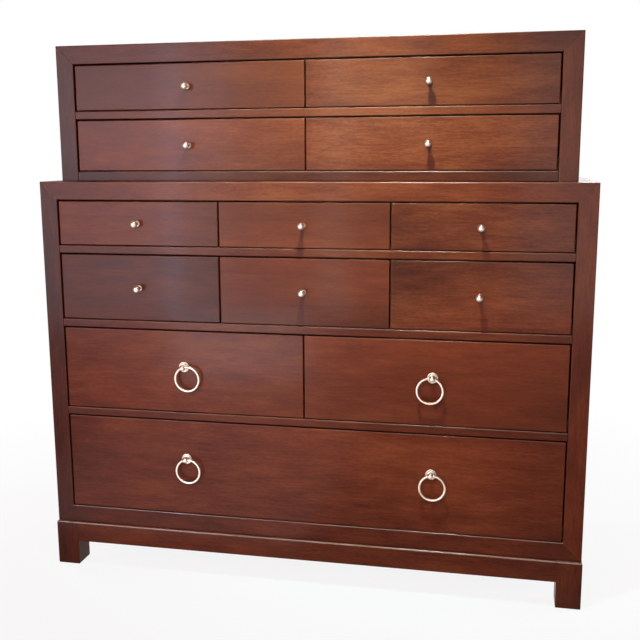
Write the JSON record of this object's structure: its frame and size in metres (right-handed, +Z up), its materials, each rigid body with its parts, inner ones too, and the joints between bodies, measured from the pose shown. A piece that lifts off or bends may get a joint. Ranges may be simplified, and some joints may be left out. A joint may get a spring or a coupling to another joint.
{
  "type": "dresser",
  "caption": "Two-tier wooden dresser with inset sliding drawers, ball knobs on the upper rows and swinging ring pulls on the lower rows, standing on a low base with square legs.",
  "frame": {"origin": "on the floor, under the middle of the object's bounding box", "axes": "+X to the right of a person facing the dresser, +Y from the drawer fronts to the back, +Z up"},
  "size_m": [1.224, 0.533, 1.215],
  "materials": {
    "case_mahogany": "satin lacquer over dark red-brown stain",
    "front_mahogany": "satin lacquer over dark red-brown stain",
    "inner_wood": "planed, unfinished",
    "drawer_box_wood": "clear sealed",
    "satin_nickel": "satin nickel plate"
  },
  "bodies": {
    "casework": {"base_legs": "case_mahogany", "base_rails": "case_mahogany", "back_panels": "inner_wood", "dust_panels": "inner_wood", "lower_face_frame": "case_mahogany", "upper_face_frame": "case_mahogany", "drawer_partitions": "inner_wood", "drawer_guides": "inner_wood", "drawer_stops": "inner_wood", "lower_left_side": "case_mahogany", "lower_right_side": "case_mahogany", "lower_top": "case_mahogany", "lower_bottom": "inner_wood", "upper_left_side": "case_mahogany", "upper_right_side": "case_mahogany", "upper_top": "case_mahogany", "upper_bottom": "inner_wood"},
    "drawer_row1_left": {"front_row1_left": "front_mahogany", "box_row1_left": "drawer_box_wood", "knob_row1_left": "satin_nickel"},
    "drawer_row1_right": {"front_row1_right": "front_mahogany", "box_row1_right": "drawer_box_wood", "knob_row1_right": "satin_nickel"},
    "drawer_row2_left": {"front_row2_left": "front_mahogany", "box_row2_left": "drawer_box_wood", "knob_row2_left": "satin_nickel"},
    "drawer_row2_right": {"front_row2_right": "front_mahogany", "box_row2_right": "drawer_box_wood", "knob_row2_right": "satin_nickel"},
    "drawer_row3_left": {"front_row3_left": "front_mahogany", "box_row3_left": "drawer_box_wood", "knob_row3_left": "satin_nickel"},
    "drawer_row3_centre": {"front_row3_centre": "front_mahogany", "box_row3_centre": "drawer_box_wood", "knob_row3_centre": "satin_nickel"},
    "drawer_row3_right": {"front_row3_right": "front_mahogany", "box_row3_right": "drawer_box_wood", "knob_row3_right": "satin_nickel"},
    "drawer_row4_left": {"front_row4_left": "front_mahogany", "box_row4_left": "drawer_box_wood", "knob_row4_left": "satin_nickel"},
    "drawer_row4_centre": {"front_row4_centre": "front_mahogany", "box_row4_centre": "drawer_box_wood", "knob_row4_centre": "satin_nickel"},
    "drawer_row4_right": {"front_row4_right": "front_mahogany", "box_row4_right": "drawer_box_wood", "knob_row4_right": "satin_nickel"},
    "drawer_row5_left": {"front_row5_left": "front_mahogany", "box_row5_left": "drawer_box_wood", "post_row5_left": "satin_nickel"},
    "pull_ring_row5_left": {"ring_row5_left": "satin_nickel"},
    "drawer_row5_right": {"front_row5_right": "front_mahogany", "box_row5_right": "drawer_box_wood", "post_row5_right": "satin_nickel"},
    "pull_ring_row5_right": {"ring_row5_right": "satin_nickel"},
    "drawer_row6": {"front_row6": "front_mahogany", "box_row6": "drawer_box_wood", "post_row6": "satin_nickel"},
    "pull_ring_row6_left": {"ring_row6_left": "satin_nickel"},
    "pull_ring_row6_right": {"ring_row6_right": "satin_nickel"}
  },
  "joints": [
    {"name": "row1_left_slide", "type": "slide", "parent": "casework", "child": "drawer_row1_left", "axis": [0, -1, 0], "range_m": [0, 0.31]},
    {"name": "row1_right_slide", "type": "slide", "parent": "casework", "child": "drawer_row1_right", "axis": [0, -1, 0], "range_m": [0, 0.31]},
    {"name": "row2_left_slide", "type": "slide", "parent": "casework", "child": "drawer_row2_left", "axis": [0, -1, 0], "range_m": [0, 0.31]},
    {"name": "row2_right_slide", "type": "slide", "parent": "casework", "child": "drawer_row2_right", "axis": [0, -1, 0], "range_m": [0, 0.31]},
    {"name": "row3_left_slide", "type": "slide", "parent": "casework", "child": "drawer_row3_left", "axis": [0, -1, 0], "range_m": [0, 0.34]},
    {"name": "row3_centre_slide", "type": "slide", "parent": "casework", "child": "drawer_row3_centre", "axis": [0, -1, 0], "range_m": [0, 0.34]},
    {"name": "row3_right_slide", "type": "slide", "parent": "casework", "child": "drawer_row3_right", "axis": [0, -1, 0], "range_m": [0, 0.34]},
    {"name": "row4_left_slide", "type": "slide", "parent": "casework", "child": "drawer_row4_left", "axis": [0, -1, 0], "range_m": [0, 0.34]},
    {"name": "row4_centre_slide", "type": "slide", "parent": "casework", "child": "drawer_row4_centre", "axis": [0, -1, 0], "range_m": [0, 0.34]},
    {"name": "row4_right_slide", "type": "slide", "parent": "casework", "child": "drawer_row4_right", "axis": [0, -1, 0], "range_m": [0, 0.34]},
    {"name": "row5_left_slide", "type": "slide", "parent": "casework", "child": "drawer_row5_left", "axis": [0, -1, 0], "range_m": [0, 0.34]},
    {"name": "ring_row5_left_hinge", "type": "hinge", "parent": "drawer_row5_left", "child": "pull_ring_row5_left", "pos_m": [-0.27787, -0.2535, 0.5015], "axis": [-0.9272, 0, -0.3746], "range_deg": [-9, 189]},
    {"name": "row5_right_slide", "type": "slide", "parent": "casework", "child": "drawer_row5_right", "axis": [0, -1, 0], "range_m": [0, 0.34]},
    {"name": "ring_row5_right_hinge", "type": "hinge", "parent": "drawer_row5_right", "child": "pull_ring_row5_right", "pos_m": [0.28387, -0.2535, 0.5015], "axis": [-0.9848, 0, 0.1736], "range_deg": [-9, 189]},
    {"name": "row6_slide", "type": "slide", "parent": "casework", "child": "drawer_row6", "axis": [0, -1, 0], "range_m": [0, 0.34]},
    {"name": "ring_row6_left_hinge", "type": "hinge", "parent": "drawer_row6", "child": "pull_ring_row6_left", "pos_m": [-0.27787, -0.2535, 0.284], "axis": [-0.9744, 0, -0.225], "range_deg": [-9, 189]},
    {"name": "ring_row6_right_hinge", "type": "hinge", "parent": "drawer_row6", "child": "pull_ring_row6_right", "pos_m": [0.28387, -0.2535, 0.284], "axis": [-0.9903, 0, -0.1392], "range_deg": [-9, 189]}
  ]
}
